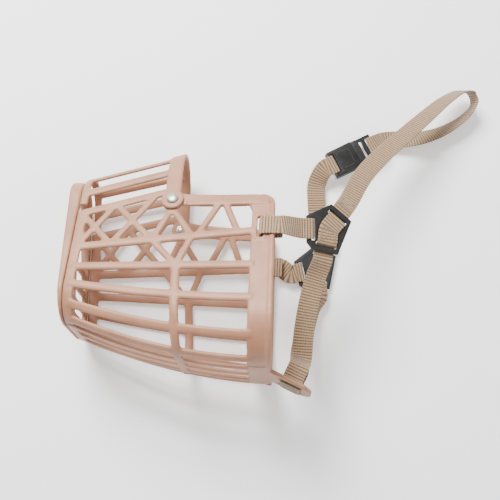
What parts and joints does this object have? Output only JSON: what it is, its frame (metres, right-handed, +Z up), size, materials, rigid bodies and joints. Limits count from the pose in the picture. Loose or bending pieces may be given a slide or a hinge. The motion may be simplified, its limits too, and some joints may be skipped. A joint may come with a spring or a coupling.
{
  "type": "basket muzzle",
  "caption": "Moulded plastic basket muzzle with riveted nose bridge, webbing harness, three-way connectors and a side-release buckle.",
  "frame": {"origin": "centre of the bounding box at the surface the muzzle lies on", "axes": "+X from the nose end towards the open rear and the harness, +Y towards the nose bridge, +Z up from the surface; the muzzle lies on its far side wall"},
  "size_m": [0.351, 0.2788, 0.1283],
  "materials": {
    "moulded_plastic": "satin, pinkish tan",
    "webbing": "ribbed woven webbing",
    "black_plastic": "satin black",
    "rivet_steel": "plated, polished"
  },
  "bodies": {
    "muzzle": {"front_grille": "moulded_plastic", "nose_bridge": "moulded_plastic", "near_side_net": "moulded_plastic", "far_side_net": "moulded_plastic", "chin_net": "moulded_plastic", "near_rivet": "rivet_steel", "near_rivet_washer": "rivet_steel", "far_rivet": "rivet_steel", "far_rivet_washer": "rivet_steel", "near_cheek_strap": "webbing", "far_cheek_strap": "webbing", "near_connector": "black_plastic", "far_connector": "black_plastic", "chin_strap": "webbing", "near_neck_strap": "webbing", "far_neck_strap": "webbing", "buckle_socket": "black_plastic", "buckle_plug": "black_plastic"},
    "upper_prong": {"upper_prong": "black_plastic"},
    "lower_prong": {"lower_prong": "black_plastic"}
  },
  "joints": [
    {"name": "upper_prong_squeeze", "type": "hinge", "parent": "muzzle", "child": "upper_prong", "pos_m": [0.06076, 0.08063, 0.0085], "axis": [0, 0, 1], "range_deg": [0, 8], "stiffness_Nm_per_rad": 0.02},
    {"name": "lower_prong_squeeze", "type": "hinge", "parent": "muzzle", "child": "lower_prong", "pos_m": [0.06827, 0.06707, 0.0085], "axis": [0, 0, 1], "range_deg": [-8, 0], "stiffness_Nm_per_rad": 0.02}
  ],
  "couplings": [
    {"joint": "lower_prong_squeeze", "follows": "upper_prong_squeeze", "ratio": -1}
  ]
}
